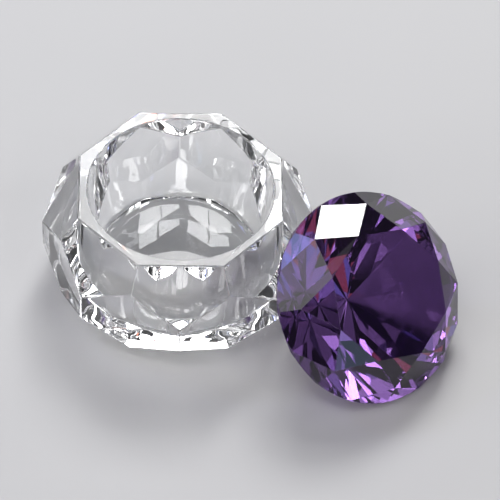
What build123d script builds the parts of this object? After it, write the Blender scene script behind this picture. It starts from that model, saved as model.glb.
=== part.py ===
from build123d import *
import os
from math import atan2, cos, hypot, radians, sin, tan

# A small pressed-crystal cup with a cut-crystal lid, millimetres.
# The cup stands on the origin with its axis on +Z. The lid has been taken off
# and lies beside the cup on one facet of its pointed underside.

# ---- Cup: outside ------------------------------------------------------------
CUP_SIDES = 8
CUP_HEIGHT = 24.0           # table to rim
RIM_ACROSS_FLATS = 38.6     # flat octagonal rim
BELT_ACROSS_CORNERS = 52.9  # widest part, an octagon turned half a side
BELT_TOP_DROP = 10.3        # rim to the low tips of the upper facets
BELT_BOTTOM_DROP = 16.4     # rim to the foot of the belt's upright corners
BASE_ACROSS_FLATS = 38.2    # octagon that the cup stands on
CUP_EDGE_RADIUS = 0.25      # fire-polished edges

# ---- Cup: inside -------------------------------------------------------------
RIM_WALL = 1.55             # rim's flat sides to the round mouth that the lid's point drops into
BORE_DRAFT = 7.6            # slope of the bore's wall, degrees from upright
FLOOR_THICKNESS = 4.1       # table to the inside floor
FLOOR_RADIUS = 2.4          # rounding between the wall and the floor
MOUTH_EDGE_RADIUS = 0.3     # rounding of the mouth's inner edge

# ---- Lid: a round brilliant with eight main facets ---------------------------
LID_MAINS = 8
LID_DIAMETER = 40.0         # across the girdle
GIRDLE_HEIGHT = 1.0
TABLE_DIAMETER = 25.4       # flat top, across its corners
CROWN_HEIGHT = 6.9          # girdle to table
STAR_TIP_DIAMETER = 35.0    # circle through the outer tips of the star facets
POINT_DEPTH = 18.8          # girdle to the point underneath
LOWER_TIP_DIAMETER = 12.0   # circle through the inner tips of the lower facets
POINT_FLAT = 0.4            # the point is blunted by a flat about this wide

# ---- Where the lid lies ------------------------------------------------------
LID_CLEARANCE = 0.8         # gap left between the lid and the cup
LID_SIDE_SHIFT = -3.3       # along the belt's side, from the middle of that side
LID_FACING = -48.3          # azimuth that the tilted table looks to, degrees
SEATING_STEPS = 8           # each one closes most of the gap that is left

# ---- Values worked out from the sizes ----------------------------------------
cup_step = 360 / CUP_SIDES
lid_step = 360 / LID_MAINS
belt_radius = BELT_ACROSS_CORNERS / 2
bore_depth = CUP_HEIGHT - FLOOR_THICKNESS
mouth_radius = RIM_ACROSS_FLATS / 2 - RIM_WALL
foot_radius = mouth_radius - bore_depth * tan(radians(BORE_DRAFT))  # where wall and floor would meet
girdle_radius = LID_DIAMETER / 2
lid_side = radians(-cup_step / 2)               # azimuth of the belt's side beside the lid
away_from_cup = Vector(cos(lid_side), sin(lid_side), 0)
along_side = Vector(-sin(lid_side), cos(lid_side), 0)


def facet(azimuth, upper, lower):
    """Plane through two (radius, height) points of one azimuth, facing outwards.

    The plane also holds every horizontal line square to that azimuth.
    """
    run, fall = lower[0] - upper[0], upper[1] - lower[1]
    length = hypot(run, fall)
    across, up = fall / length, run / length
    turn = radians(azimuth)
    radius, height = upper
    return Plane(
        origin=(radius * cos(turn), radius * sin(turn), height),
        z_dir=(across * cos(turn), across * sin(turn), up),
    )


def cut_ring(solid, count, first_azimuth, upper, lower):
    """Grind one ring of equal facets on a solid."""
    for index in range(count):
        plane = facet(first_azimuth + index * 360 / count, upper, lower)
        solid = split(solid, bisect_by=plane, keep=Keep.BOTTOM)
    return solid


def make_cup_outside():
    """Belt prism, cut back to the rim above and to the base below."""
    belt_top = CUP_HEIGHT - BELT_TOP_DROP
    belt_bottom = CUP_HEIGHT - BELT_BOTTOM_DROP
    body = extrude(RegularPolygon(belt_radius, CUP_SIDES), CUP_HEIGHT)
    body = cut_ring(body, CUP_SIDES, 0, (RIM_ACROSS_FLATS / 2, CUP_HEIGHT), (belt_radius, belt_top))
    body = cut_ring(body, CUP_SIDES, 0, (belt_radius, belt_bottom), (BASE_ACROSS_FLATS / 2, 0))
    return fillet(body.edges(), CUP_EDGE_RADIUS)


def make_cup():
    """Cup with its tapered round bore, rounded floor and softened mouth."""
    bore = Pos(0, 0, FLOOR_THICKNESS) * Cone(
        foot_radius, mouth_radius, bore_depth, align=(Align.CENTER, Align.CENTER, Align.MIN)
    )
    bore = fillet(bore.edges().sort_by(Axis.Z)[0], FLOOR_RADIUS)
    cup = make_cup_outside() - bore
    mouth_edge = cup.edges().filter_by(GeomType.CIRCLE).sort_by(Axis.Z)[-1]
    return fillet(mouth_edge, MOUTH_EDGE_RADIUS)


def make_lid():
    """Lid in its own frame: table up, the girdle's upper edge at height 0."""
    half_step = lid_step / 2
    table_radius = TABLE_DIAMETER / 2
    star_tip = STAR_TIP_DIAMETER / 2
    lower_tip = LOWER_TIP_DIAMETER / 2
    main_ratio = cos(radians(half_step))        # between neighbouring main facets
    half_ratio = cos(radians(half_step / 2))    # between a main facet and a half facet

    crown_slope = CROWN_HEIGHT / (girdle_radius - table_radius)
    star_tip_height = (girdle_radius - star_tip * main_ratio) * crown_slope
    point_slope = POINT_DEPTH / girdle_radius
    lower_tip_height = -GIRDLE_HEIGHT - (girdle_radius - lower_tip * main_ratio) * point_slope

    table_corner = (table_radius, CROWN_HEIGHT)
    table_side = (table_radius * main_ratio, CROWN_HEIGHT)
    upper_edge = (girdle_radius, 0)
    upper_chord = (girdle_radius * half_ratio, 0)
    lower_edge = (girdle_radius, -GIRDLE_HEIGHT)
    lower_chord = (girdle_radius * half_ratio, -GIRDLE_HEIGHT)
    point_cut = POINT_FLAT / 2 * point_slope
    blank_height = CROWN_HEIGHT + GIRDLE_HEIGHT + POINT_DEPTH - point_cut

    lid = Pos(0, 0, CROWN_HEIGHT - blank_height) * Cylinder(
        girdle_radius, blank_height, align=(Align.CENTER, Align.CENTER, Align.MIN)
    )
    lid = cut_ring(lid, LID_MAINS, 0, table_corner, upper_edge)
    lid = cut_ring(lid, LID_MAINS, half_step, table_side, (star_tip, star_tip_height))
    lid = cut_ring(
        lid, 2 * LID_MAINS, half_step / 2, (star_tip * half_ratio, star_tip_height), upper_chord
    )
    lid = cut_ring(
        lid, 2 * LID_MAINS, half_step / 2, lower_chord, (lower_tip * half_ratio, lower_tip_height)
    )
    return cut_ring(lid, LID_MAINS, 0, lower_edge, (0, -GIRDLE_HEIGHT - POINT_DEPTH))


def lid_place():
    """Frame of the lid lying flat on one main facet of its underside, well clear of the cup."""
    tilt = atan2(POINT_DEPTH, girdle_radius)
    facing = radians(LID_FACING)
    height = girdle_radius * sin(tilt) + GIRDLE_HEIGHT * cos(tilt)
    place = away_from_cup * (belt_radius + girdle_radius) + along_side * LID_SIDE_SHIFT
    return Plane(
        origin=(place.X, place.Y, height),
        x_dir=(-cos(tilt) * cos(facing), -cos(tilt) * sin(facing), sin(tilt)),
        z_dir=(sin(tilt) * cos(facing), sin(tilt) * sin(facing), cos(tilt)),
    )


def slide_to_cup(lid, cup):
    """Push the lid over the table towards one side of the belt, up to its clearance."""
    for _ in range(SEATING_STEPS):
        lid = Pos(away_from_cup * (LID_CLEARANCE - cup.distance_to(lid))) * lid
    return lid


os.makedirs("parts", exist_ok=True)
cup = make_cup()
lid = slide_to_cup(lid_place().location * make_lid(), cup)
print("gap between the lid and the cup:", round(cup.distance_to(lid), 3))

export_step(cup, "parts/crystal_cup.step")
export_step(lid, "parts/gem_lid.step")
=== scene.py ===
"""Looks of a small crystal cup with a cut-crystal lid lying beside it. Metres, +Z up."""

import math

import bmesh
import bpy
from mathutils import Matrix, Vector


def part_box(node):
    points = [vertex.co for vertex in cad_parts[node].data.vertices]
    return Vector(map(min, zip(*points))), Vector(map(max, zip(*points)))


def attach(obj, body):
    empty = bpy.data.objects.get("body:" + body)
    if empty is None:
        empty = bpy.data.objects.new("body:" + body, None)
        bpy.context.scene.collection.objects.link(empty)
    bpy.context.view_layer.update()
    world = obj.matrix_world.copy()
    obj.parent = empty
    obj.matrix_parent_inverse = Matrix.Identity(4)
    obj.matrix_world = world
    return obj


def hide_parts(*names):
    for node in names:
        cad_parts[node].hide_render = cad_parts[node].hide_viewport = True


# ---- Cup, as it is pressed -------------------------------------------------------
CUP_SIDES = 8
CUP_HEIGHT = 0.0240
RIM_ACROSS_FLATS = 0.0386
BELT_ACROSS_CORNERS = 0.0529
BELT_TOP_DROP = 0.0103
BELT_BOTTOM_DROP = 0.0164
BASE_ACROSS_FLATS = 0.0382
CUP_EDGE_ROUND = 0.00028
CUP_EDGE_STEPS = 3
RIM_WALL = 0.00155
BORE_DRAFT = math.radians(7.6)
FLOOR_THICKNESS = 0.0041
FLOOR_ROUND = 0.0024
FLOOR_ROUND_STEPS = 24
BORE_SEGMENTS = 160
BORE_OVERSHOOT = 0.002

# ---- Lid, as it is cut -----------------------------------------------------------
LID_MAINS = 8
LID_DIAMETER = 0.040
GIRDLE_HEIGHT = 0.0010
TABLE_DIAMETER = 0.0254
CROWN_HEIGHT = 0.0069
STAR_TIP_DIAMETER = 0.035
POINT_DEPTH = 0.0188
LOWER_TIP_DIAMETER = 0.012
POINT_FLAT = 0.0004
GIRDLE_STEPS = 8
LID_EDGE_ROUND = 0.00006
LID_EDGE_STEPS = 2
LID_FACING = math.radians(-48.3)

# ---- Clean-up of the meshes ------------------------------------------------------
MERGE_DISTANCE = 1e-7
FLAT_ANGLE = math.radians(0.4)      # faces flatter to each other are one facet
CREASE_ANGLE = math.radians(4)      # sharper edges are shaded as creases
EDGE_ANGLE = math.radians(18)       # sharper edges are rounded

# ---- Glass -----------------------------------------------------------------------
CLEAR_COLOUR = (0.99, 0.995, 1.0)
CLEAR_INDEX = 1.52
PURPLE_COLOUR = (0.115, 0.054, 0.20)
PURPLE_INDEX = 1.56
POLISH = 0.004              # roughness of the cleanest glass
HAZE = 0.02                 # roughness of the haziest patches
HAZE_SCALE = 420.0
HAZE_DETAIL = 5.0
HAZE_START, HAZE_FULL = 0.45, 0.8
RIPPLE_DETAIL = 1.0
RIPPLE_DEPTH = 0.001

# ---- View of the photograph ------------------------------------------------------
PICTURE_PIXELS = 500
FOCAL_PIXELS = 3042.5
RIM_CENTRE_PIXEL = (180.7, 187.9)
CAMERA_DISTANCE = 0.5764
CAMERA_AZIMUTH = math.radians(-3.26)
CAMERA_ELEVATION = math.radians(49.8)
CAMERA_ROLL = math.radians(3.09)
NEAREST_SEEN = 0.01

# ---- Floor and even light --------------------------------------------------------
LIGHT_BOUNCES = 24          # light is mirrored inside the crystal many times before it leaves
FLOOR_COLOUR = (0.53, 0.53, 0.53)
FLOOR_ROUGHNESS = 0.6
FLOOR_REACH = 3.0
FLOOR_GAP = 0.00005         # keeps the floor just clear of the cup's base
SKY_COLOUR = (0.95, 0.97, 1.0)
SKY_STRENGTH = 0.05

# ---- Studio: flat lamps round the object, which its facets mirror ----------------
# Azimuth from +X and elevation in degrees, distance in metres, half width and half height
# in degrees as seen from the object, brightness (1 shows as plain white), colour.
LAMP_TARGET = Vector((0.012, -0.006, 0.015))    # about the middle of the object
WHITE = (1.0, 1.0, 1.0)
BLUE = (0.42, 0.48, 1.0)
ICE = (0.55, 0.75, 1.0)
SHADE = (0.78, 0.82, 1.0)
COOL = (0.80, 0.85, 1.0)
RED = (1.0, 0.36, 0.24)
PINK = (1.0, 0.95, 1.0)
STUDIO_CARDS = (
    ("back_softbox", 75.2, 44.8, 0.80, 7.0, 7.25, 20.0, WHITE),     # white in the lid's top facet
    ("back_card", 93.5, 42.7, 0.80, 6.4, 5.2, 13.0, WHITE),         # petals on the cup's floor
    ("upper_card", 85.0, 55.2, 0.80, 13.0, 7.2, 8.0, WHITE),        # rim and foot of the cup
    ("left_window", -156.0, 52.0, 0.70, 12.0, 21.0, 2.0, WHITE),    # grey facet on the lid's left
    ("left_card", -138.0, 42.0, 0.60, 4.0, 6.0, 4.5, WHITE),
    ("left_strip", -175.0, 12.0, 0.70, 10.0, 4.0, 12.0, WHITE),
    ("blue_card", 156.7, 45.0, 0.70, 5.0, 5.0, 7.0, BLUE),
    ("side_card", 110.0, 33.0, 0.70, 6.0, 5.0, 5.0, WHITE),
    ("right_card", 8.0, 14.0, 0.70, 6.0, 4.0, 12.0, WHITE),
    ("far_card", 55.0, 6.0, 0.70, 6.0, 4.0, 1.2, WHITE),
    ("low_card", -110.0, 22.0, 0.70, 9.0, 8.0, 2.0, WHITE),
    ("front_card", -70.0, 8.0, 0.80, 10.6, 5.3, 1.3, ICE),          # slate facet low on the lid
    ("crown_card", -45.0, 50.0, 0.70, 10.0, 10.0, 3.0, WHITE),      # facets seen through the table
    ("high_card", -45.0, 75.0, 0.70, 10.0, 10.0, 0.45, WHITE),
    ("top_card", -100.0, 72.0, 0.70, 9.0, 9.0, 1.2, SHADE),
    ("warm_card", -78.0, 25.0, 0.70, 5.0, 10.0, 1.3, RED),          # red facets
    ("near_card", -62.0, 25.0, 0.70, 7.0, 10.0, 1.3, COOL),
    ("spark_card", -128.0, 70.0, 0.72, 8.0, 4.0, 7.0, PINK),        # bright lilac facets
)

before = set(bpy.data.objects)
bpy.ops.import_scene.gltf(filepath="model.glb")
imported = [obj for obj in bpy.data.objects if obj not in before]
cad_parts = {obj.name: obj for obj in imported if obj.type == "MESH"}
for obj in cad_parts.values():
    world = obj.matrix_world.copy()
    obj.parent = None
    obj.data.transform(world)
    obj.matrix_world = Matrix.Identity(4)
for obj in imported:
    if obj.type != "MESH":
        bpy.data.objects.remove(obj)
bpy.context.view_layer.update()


# ---- Geometry node helpers -------------------------------------------------------
def new_tree(name, inputs):
    """Geometry node tree with the named inputs, and its two end nodes."""
    tree = bpy.data.node_groups.new(name, "GeometryNodeTree")
    for label, kind in inputs:
        tree.interface.new_socket(label, in_out="INPUT", socket_type=kind)
    tree.interface.new_socket("Geometry", in_out="OUTPUT", socket_type="NodeSocketGeometry")
    return tree, tree.nodes.new("NodeGroupInput"), tree.nodes.new("NodeGroupOutput")


def size_labels(names, parts):
    """Named number inputs: each part of each name."""
    return [(f"{name} {part}", "NodeSocketFloat") for name in names for part in parts]


def math_node(tree, operation, first, second=None):
    """Math node whose inputs are sockets or plain numbers."""
    node = tree.nodes.new("ShaderNodeMath")
    node.operation = operation
    for socket, value in zip(node.inputs, (first, second)):
        if isinstance(value, (int, float)):
            socket.default_value = value
        elif value is not None:
            tree.links.new(value, socket)
    return node.outputs[0]


def ring_group():
    """Corners of one ring of facets: a circle of points at a height."""
    tree, start, end = new_tree("Facet Ring", [
        ("Corners", "NodeSocketInt"),
        ("Radius", "NodeSocketFloat"),
        ("Height", "NodeSocketFloat"),
        ("Turn", "NodeSocketFloat"),
    ])
    circle = tree.nodes.new("GeometryNodeMeshCircle")
    place = tree.nodes.new("ShaderNodeCombineXYZ")
    turn = tree.nodes.new("ShaderNodeCombineXYZ")
    move = tree.nodes.new("GeometryNodeTransform")
    tree.links.new(start.outputs["Corners"], circle.inputs["Vertices"])
    tree.links.new(start.outputs["Radius"], circle.inputs["Radius"])
    tree.links.new(start.outputs["Height"], place.inputs["Z"])
    tree.links.new(start.outputs["Turn"], turn.inputs["Z"])
    tree.links.new(circle.outputs["Mesh"], move.inputs["Geometry"])
    tree.links.new(place.outputs["Vector"], move.inputs["Translation"])
    tree.links.new(turn.outputs["Vector"], move.inputs["Rotation"])
    tree.links.new(move.outputs["Geometry"], end.inputs["Geometry"])
    return tree


def girdle_group():
    """Round edge of the lid where slanting facets cut it: a circle that dips between their ends."""
    tree, start, end = new_tree("Scalloped Ring", [
        ("Facets", "NodeSocketInt"),
        ("Steps", "NodeSocketInt"),
        ("Radius", "NodeSocketFloat"),
        ("Height", "NodeSocketFloat"),
        ("Slope", "NodeSocketFloat"),
    ])
    circle = tree.nodes.new("GeometryNodeMeshCircle")
    index = tree.nodes.new("GeometryNodeInputIndex")
    shift = tree.nodes.new("GeometryNodeSetPosition")
    offset = tree.nodes.new("ShaderNodeCombineXYZ")
    facets, steps = start.outputs["Facets"], start.outputs["Steps"]
    half_turn = math_node(tree, "DIVIDE", math.pi, facets)
    share = math_node(tree, "DIVIDE", math_node(tree, "MODULO", index.outputs[0], steps), steps)
    spread = math_node(tree, "SUBTRACT", math_node(tree, "MULTIPLY", share, 2.0), 1.0)
    swing = math_node(tree, "MULTIPLY", half_turn, spread)
    bulge = math_node(
        tree, "SUBTRACT", math_node(tree, "COSINE", swing), math_node(tree, "COSINE", half_turn)
    )
    dip = math_node(
        tree, "MULTIPLY", math_node(tree, "MULTIPLY", bulge, start.outputs["Radius"]),
        start.outputs["Slope"],
    )
    tree.links.new(math_node(tree, "MULTIPLY", facets, steps), circle.inputs["Vertices"])
    tree.links.new(start.outputs["Radius"], circle.inputs["Radius"])
    tree.links.new(math_node(tree, "SUBTRACT", start.outputs["Height"], dip), offset.inputs["Z"])
    tree.links.new(circle.outputs["Mesh"], shift.inputs["Geometry"])
    tree.links.new(offset.outputs["Vector"], shift.inputs["Offset"])
    tree.links.new(shift.outputs["Geometry"], end.inputs["Geometry"])
    return tree


def hull_of(tree, groups):
    """Convex hull of some point rings inside a tree. Each is (group, {input: value})."""
    join = tree.nodes.new("GeometryNodeJoinGeometry")
    hull = tree.nodes.new("GeometryNodeConvexHull")
    for group, values in groups:
        ring = tree.nodes.new("GeometryNodeGroup")
        ring.node_tree = group
        for label, value in values.items():
            if isinstance(value, bpy.types.NodeSocket):
                tree.links.new(value, ring.inputs[label])
            else:
                ring.inputs[label].default_value = value
        tree.links.new(ring.outputs[0], join.inputs[0])
    tree.links.new(join.outputs[0], hull.inputs[0])
    return hull.outputs[0]


def close_tree(tree, end, geometry, material):
    """Ends a tree with plain, painted geometry."""
    real = tree.nodes.new("GeometryNodeRealizeInstances")
    paint = tree.nodes.new("GeometryNodeSetMaterial")
    paint.inputs["Material"].default_value = material
    tree.links.new(geometry, real.inputs[0])
    tree.links.new(real.outputs[0], paint.inputs["Geometry"])
    tree.links.new(paint.outputs[0], end.inputs["Geometry"])


def mesh_from_tree(name, tree, values, material):
    """Plain mesh that a tree makes with these sizes."""
    holder = bpy.data.objects.new(name, bpy.data.meshes.new(name))
    bpy.context.scene.collection.objects.link(holder)
    modifier = holder.modifiers.new("Shape", "NODES")
    modifier.node_group = tree
    for item in tree.interface.items_tree:
        if item.in_out == "INPUT" and item.name in values:
            modifier[item.identifier] = values[item.name]
    evaluated = holder.evaluated_get(bpy.context.evaluated_depsgraph_get())
    mesh = bpy.data.meshes.new_from_object(evaluated)
    bpy.data.objects.remove(holder)
    mesh.name = name
    mesh.materials.clear()
    mesh.materials.append(material)
    return mesh


def join_flats(mesh):
    """Makes each flat facet one face, with its normals outwards."""
    edit = bmesh.new()
    edit.from_mesh(mesh)
    bmesh.ops.remove_doubles(edit, verts=edit.verts, dist=MERGE_DISTANCE)
    bmesh.ops.dissolve_limit(
        edit, angle_limit=FLAT_ANGLE, use_dissolve_boundaries=False,
        verts=edit.verts, edges=edit.edges,
    )
    bmesh.ops.recalc_face_normals(edit, faces=edit.faces)
    edit.to_mesh(mesh)
    edit.free()


def soften_edges(piece, width, segments):
    """Rounds the edges between facets a little and keeps the facets flat."""
    for face in piece.data.polygons:
        face.use_smooth = True
    piece.data.set_sharp_from_angle(angle=CREASE_ANGLE)
    bevel = piece.modifiers.new("Edges", "BEVEL")
    bevel.width = width
    bevel.segments = segments
    bevel.limit_method = "ANGLE"
    bevel.angle_limit = EDGE_ANGLE
    bevel.harden_normals = True
    bevel.use_clamp_overlap = True


# ---- Materials -------------------------------------------------------------------
def surface_group():
    """Faint ripple and patchy haze of a polished glass surface."""
    group = bpy.data.node_groups.new("Polished Glass", "ShaderNodeTree")
    for label in ("Ripple Scale", "Ripple Height", "Polish", "Haze"):
        group.interface.new_socket(label, in_out="INPUT", socket_type="NodeSocketFloat")
    group.interface.new_socket("Roughness", in_out="OUTPUT", socket_type="NodeSocketFloat")
    group.interface.new_socket("Normal", in_out="OUTPUT", socket_type="NodeSocketVector")
    nodes, links = group.nodes, group.links
    start, end = nodes.new("NodeGroupInput"), nodes.new("NodeGroupOutput")
    place = nodes.new("ShaderNodeTexCoord")
    ripple = nodes.new("ShaderNodeTexNoise")
    ripple.inputs["Detail"].default_value = RIPPLE_DETAIL
    haze = nodes.new("ShaderNodeTexNoise")
    haze.inputs["Scale"].default_value = HAZE_SCALE
    haze.inputs["Detail"].default_value = HAZE_DETAIL
    span = nodes.new("ShaderNodeMapRange")
    span.inputs["From Min"].default_value = HAZE_START
    span.inputs["From Max"].default_value = HAZE_FULL
    bump = nodes.new("ShaderNodeBump")
    bump.inputs["Distance"].default_value = RIPPLE_DEPTH
    links.new(place.outputs["Object"], ripple.inputs["Vector"])
    links.new(place.outputs["Object"], haze.inputs["Vector"])
    links.new(start.outputs["Ripple Scale"], ripple.inputs["Scale"])
    links.new(ripple.outputs["Fac"], bump.inputs["Height"])
    links.new(start.outputs["Ripple Height"], bump.inputs["Strength"])
    links.new(haze.outputs["Fac"], span.inputs["Value"])
    links.new(start.outputs["Polish"], span.inputs["To Min"])
    links.new(start.outputs["Haze"], span.inputs["To Max"])
    links.new(span.outputs["Result"], end.inputs["Roughness"])
    links.new(bump.outputs["Normal"], end.inputs["Normal"])
    return group


def glass_material(name, surface, colour, index, ripple_scale, ripple_height):
    """Solid glass whose surface has the shared polish, ripple and haze."""
    material = bpy.data.materials.new(name)
    material.use_nodes = True
    nodes, links = material.node_tree.nodes, material.node_tree.links
    glass = nodes["Principled BSDF"]
    glass.inputs["Base Color"].default_value = (*colour, 1)
    glass.inputs["Transmission Weight"].default_value = 1.0
    glass.inputs["IOR"].default_value = index
    finish = nodes.new("ShaderNodeGroup")
    finish.node_tree = surface
    finish.inputs["Ripple Scale"].default_value = ripple_scale
    finish.inputs["Ripple Height"].default_value = ripple_height
    finish.inputs["Polish"].default_value = POLISH
    finish.inputs["Haze"].default_value = HAZE
    links.new(finish.outputs["Roughness"], glass.inputs["Roughness"])
    links.new(finish.outputs["Normal"], glass.inputs["Normal"])
    return material


# ---- Cup -------------------------------------------------------------------------
def make_cup(ring, material):
    """Faceted outside from six rings of corners, less the round bore."""
    half_side = math.pi / CUP_SIDES
    corner_ratio = math.cos(half_side)
    rim_flat, base_flat = RIM_ACROSS_FLATS / 2, BASE_ACROSS_FLATS / 2
    belt_corner = BELT_ACROSS_CORNERS / 2
    belt_flat = belt_corner * corner_ratio
    crossing = belt_flat * corner_ratio     # where two neighbouring facets meet the belt
    upper_slope = (belt_corner - rim_flat) / BELT_TOP_DROP
    lower_slope = (belt_corner - base_flat) / (CUP_HEIGHT - BELT_BOTTOM_DROP)
    peak_drop = (crossing - rim_flat) / upper_slope
    foot_height = (crossing - base_flat) / lower_slope

    corners = {
        "Rim": (rim_flat / corner_ratio, CUP_HEIGHT, half_side),
        "Peak": (belt_flat, CUP_HEIGHT - peak_drop, half_side),
        "Belt Top": (belt_corner, CUP_HEIGHT - BELT_TOP_DROP, 0),
        "Belt Foot": (belt_corner, CUP_HEIGHT - BELT_BOTTOM_DROP, 0),
        "Foot": (belt_flat, foot_height, half_side),
        "Base": (base_flat / corner_ratio, 0, half_side),
    }
    labels = size_labels(corners, ("Radius", "Height"))
    tree, start, end = new_tree("Crystal Cup", labels + [
        ("Mouth Radius", "NodeSocketFloat"), ("Flat Radius", "NodeSocketFloat"),
        ("Floor Height", "NodeSocketFloat"), ("Floor Round", "NodeSocketFloat"),
    ])
    outside = hull_of(tree, [
        (ring, {
            "Corners": CUP_SIDES, "Turn": turn,
            "Radius": start.outputs[f"{name} Radius"], "Height": start.outputs[f"{name} Height"],
        })
        for name, (_, _, turn) in corners.items()
    ])
    bore_rings = [(ring, {
        "Corners": BORE_SEGMENTS, "Turn": 0.0, "Radius": start.outputs["Mouth Radius"],
        "Height": CUP_HEIGHT + BORE_OVERSHOOT,
    })]
    for step in range(FLOOR_ROUND_STEPS + 1):
        bend = BORE_DRAFT + (math.pi / 2 - BORE_DRAFT) * step / FLOOR_ROUND_STEPS
        reach = math_node(tree, "MULTIPLY", start.outputs["Floor Round"], math.cos(bend))
        rise = math_node(tree, "MULTIPLY", start.outputs["Floor Round"], 1 - math.sin(bend))
        bore_rings.append((ring, {
            "Corners": BORE_SEGMENTS, "Turn": 0.0,
            "Radius": math_node(tree, "ADD", start.outputs["Flat Radius"], reach),
            "Height": math_node(tree, "ADD", start.outputs["Floor Height"], rise),
        }))
    bore = hull_of(tree, bore_rings)
    cut = tree.nodes.new("GeometryNodeMeshBoolean")
    cut.operation = "DIFFERENCE"
    cut.solver = "EXACT"
    tree.links.new(outside, cut.inputs["Mesh 1"])
    tree.links.new(bore, cut.inputs["Mesh 2"])
    close_tree(tree, end, cut.outputs["Mesh"], material)

    values = {}
    for name, (radius, height, _) in corners.items():
        values[f"{name} Radius"] = radius
        values[f"{name} Height"] = height
    mouth = RIM_ACROSS_FLATS / 2 - RIM_WALL
    foot = mouth - (CUP_HEIGHT - FLOOR_THICKNESS) * math.tan(BORE_DRAFT)
    values["Mouth Radius"] = mouth + BORE_OVERSHOOT * math.tan(BORE_DRAFT)
    values["Flat Radius"] = foot - FLOOR_ROUND * math.tan((math.pi / 2 - BORE_DRAFT) / 2)
    values["Floor Height"] = FLOOR_THICKNESS
    values["Floor Round"] = FLOOR_ROUND
    mesh = mesh_from_tree("clear_cup", tree, values, material)
    join_flats(mesh)
    return mesh


# ---- Lid -------------------------------------------------------------------------
def make_lid(ring, girdle, material):
    """Brilliant-cut lid in its own frame, table up."""
    half_step = math.pi / LID_MAINS
    main_ratio, half_ratio = math.cos(half_step), math.cos(half_step / 2)
    girdle_radius, table_radius = LID_DIAMETER / 2, TABLE_DIAMETER / 2
    star_tip, lower_tip = STAR_TIP_DIAMETER / 2, LOWER_TIP_DIAMETER / 2
    crown_slope = CROWN_HEIGHT / (girdle_radius - table_radius)
    point_slope = POINT_DEPTH / girdle_radius
    star_rise = (girdle_radius - star_tip * main_ratio) * crown_slope
    lower_fall = (girdle_radius - lower_tip * main_ratio) * point_slope
    point_height = -GIRDLE_HEIGHT - POINT_DEPTH + POINT_FLAT / 2 * point_slope
    corners = {
        "Table": (table_radius, CROWN_HEIGHT, 0, LID_MAINS),
        "Star": (star_tip, star_rise, half_step, LID_MAINS),
        "Lower": (lower_tip, -GIRDLE_HEIGHT - lower_fall, half_step, LID_MAINS),
        "Point": (POINT_FLAT / 2, point_height, 0, LID_MAINS),
    }
    edges = {
        "Upper Edge": (0.0, star_rise / ((girdle_radius - star_tip) * half_ratio)),
        "Lower Edge": (-GIRDLE_HEIGHT, -lower_fall / ((girdle_radius - lower_tip) * half_ratio)),
    }
    labels = size_labels(corners, ("Radius", "Height")) + size_labels(edges, ("Height", "Slope"))
    tree, start, end = new_tree("Brilliant Lid", labels + [("Girdle Radius", "NodeSocketFloat")])
    rings = [
        (ring, {
            "Corners": count, "Turn": turn,
            "Radius": start.outputs[f"{name} Radius"], "Height": start.outputs[f"{name} Height"],
        })
        for name, (_, _, turn, count) in corners.items()
    ]
    rings += [
        (girdle, {
            "Facets": 2 * LID_MAINS, "Steps": GIRDLE_STEPS,
            "Radius": start.outputs["Girdle Radius"],
            "Height": start.outputs[f"{name} Height"], "Slope": start.outputs[f"{name} Slope"],
        })
        for name in edges
    ]
    close_tree(tree, end, hull_of(tree, rings), material)
    values = {"Girdle Radius": girdle_radius}
    for name, (radius, height, _, _) in corners.items():
        values[f"{name} Radius"] = radius
        values[f"{name} Height"] = height
    for name, (height, slope) in edges.items():
        values[f"{name} Height"] = height
        values[f"{name} Slope"] = slope
    mesh = mesh_from_tree("purple_lid", tree, values, material)
    join_flats(mesh)
    return mesh


def lay_lid(mesh, low, high):
    """Turns the lid onto one main facet and puts it in the box that its part holds."""
    tilt = math.atan2(POINT_DEPTH, LID_DIAMETER / 2)
    ahead = Vector((math.cos(LID_FACING), math.sin(LID_FACING), 0))
    upright = Vector((0, 0, 1))
    across = upright * math.sin(tilt) - ahead * math.cos(tilt)
    up = ahead * math.sin(tilt) + upright * math.cos(tilt)
    mesh.transform(Matrix((across, up.cross(across), up)).transposed().to_4x4())
    spots = [vertex.co for vertex in mesh.vertices]
    own_low = Vector(min(spot[axis] for spot in spots) for axis in range(3))
    own_high = Vector(max(spot[axis] for spot in spots) for axis in range(3))
    mesh.transform(Matrix.Translation((low + high - own_low - own_high) / 2))


def add_piece(name, mesh, body, node):
    """Shows a mesh as a piece that stands for a CAD node."""
    piece = bpy.data.objects.new(name, mesh)
    bpy.context.scene.collection.objects.link(piece)
    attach(piece, body)
    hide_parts(node)
    return piece


# ---- Surroundings ----------------------------------------------------------------
def make_floor():
    """Plain pale floor."""
    mesh = bpy.data.meshes.new("floor")
    corners = [
        (across * FLOOR_REACH, along * FLOOR_REACH, -FLOOR_GAP)
        for across, along in ((-1, -1), (1, -1), (1, 1), (-1, 1))
    ]
    mesh.from_pydata(corners, [], [(0, 1, 2, 3)])
    floor = bpy.data.objects.new("floor", mesh)
    bpy.context.scene.collection.objects.link(floor)
    material = bpy.data.materials.new("pale_floor")
    material.use_nodes = True
    paint = material.node_tree.nodes["Principled BSDF"]
    paint.inputs["Base Color"].default_value = (*FLOOR_COLOUR, 1)
    paint.inputs["Roughness"].default_value = FLOOR_ROUGHNESS
    paint.inputs["Specular IOR Level"].default_value = 0.0
    mesh.materials.append(material)


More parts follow.
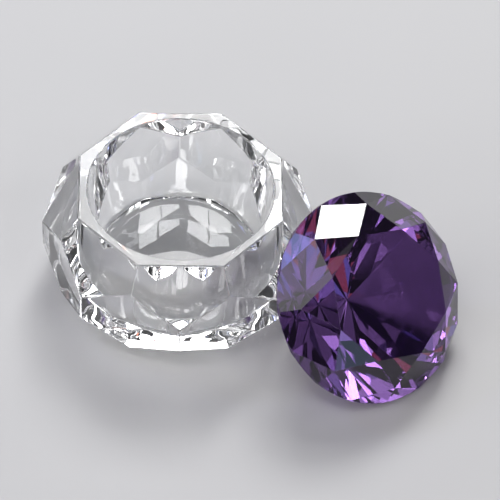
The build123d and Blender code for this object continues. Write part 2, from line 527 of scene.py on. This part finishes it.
def add_softbox(name, azimuth, elevation, distance, half_width, half_height, brightness, colour):
    """Flat soft lamp facing the object."""
    turn, rise = math.radians(azimuth), math.radians(elevation)
    towards = Vector((
        math.cos(turn) * math.cos(rise), math.sin(turn) * math.cos(rise), math.sin(rise),
    ))
    width = 2 * distance * math.tan(math.radians(half_width))
    height = 2 * distance * math.tan(math.radians(half_height))
    lamp = bpy.data.lights.new(name, "AREA")
    lamp.shape = "RECTANGLE"
    lamp.size, lamp.size_y = width, height
    lamp.energy = brightness * math.pi * width * height
    lamp.color = colour
    holder = bpy.data.objects.new(name, lamp)
    bpy.context.scene.collection.objects.link(holder)
    holder.location = LAMP_TARGET + towards * distance
    holder.rotation_euler = (-towards).to_track_quat("-Z", "Y").to_euler()


def make_world(colour, strength):
    """Even dim light from all round."""
    world = bpy.data.worlds.new("studio")
    world.use_nodes = True
    sky = world.node_tree.nodes["Background"]
    sky.inputs["Color"].default_value = (*colour, 1)
    sky.inputs["Strength"].default_value = strength
    bpy.context.scene.world = world


def follow_light(bounces):
    """Lets light be mirrored inside the crystal as often as its facets send it round."""
    paths = bpy.context.scene.cycles
    paths.max_bounces = paths.transmission_bounces = paths.glossy_bounces = bounces


def make_camera():
    """Camera of the photograph: the rim's centre lies on its pixel at the fitted distance."""
    azimuth, elevation, roll = CAMERA_AZIMUTH, CAMERA_ELEVATION, CAMERA_ROLL
    back = Vector((
        math.sin(azimuth) * math.cos(elevation), -math.cos(azimuth) * math.cos(elevation),
        math.sin(elevation),
    ))
    level = Vector((math.cos(azimuth), math.sin(azimuth), 0))
    upright = back.cross(level)
    right = level * math.cos(roll) + upright * math.sin(roll)
    up = upright * math.cos(roll) - level * math.sin(roll)
    middle = PICTURE_PIXELS / 2
    aside = (RIM_CENTRE_PIXEL[0] - middle) / FOCAL_PIXELS * CAMERA_DISTANCE
    above = (middle - RIM_CENTRE_PIXEL[1]) / FOCAL_PIXELS * CAMERA_DISTANCE
    place = Vector((0, 0, CUP_HEIGHT)) + back * CAMERA_DISTANCE - right * aside - up * above
    data = bpy.data.cameras.new("camera")
    data.lens = FOCAL_PIXELS / PICTURE_PIXELS * data.sensor_width
    data.clip_start = NEAREST_SEEN
    camera = bpy.data.objects.new("camera", data)
    bpy.context.scene.collection.objects.link(camera)
    camera.matrix_world = Matrix.Translation(place) @ Matrix((right, up, back)).transposed().to_4x4()
    bpy.context.scene.camera = camera


surface = surface_group()
clear = glass_material(
    "clear_crystal", surface, CLEAR_COLOUR, CLEAR_INDEX, ripple_scale=110.0, ripple_height=0.12,
)
purple = glass_material(
    "purple_crystal", surface, PURPLE_COLOUR, PURPLE_INDEX, ripple_scale=60.0, ripple_height=0.0,
)

ring = ring_group()
girdle = girdle_group()
cup = add_piece("clear_cup", make_cup(ring, clear), "cup", "crystal_cup")
soften_edges(cup, CUP_EDGE_ROUND, CUP_EDGE_STEPS)
lid_mesh = make_lid(ring, girdle, purple)
lay_lid(lid_mesh, *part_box("gem_lid"))
lid = add_piece("purple_lid", lid_mesh, "lid", "gem_lid")
soften_edges(lid, LID_EDGE_ROUND, LID_EDGE_STEPS)

make_floor()
make_world(SKY_COLOUR, SKY_STRENGTH)
for card in STUDIO_CARDS:
    add_softbox(*card)
make_camera()
follow_light(LIGHT_BOUNCES)
bpy.context.scene.view_settings.view_transform = "Standard"
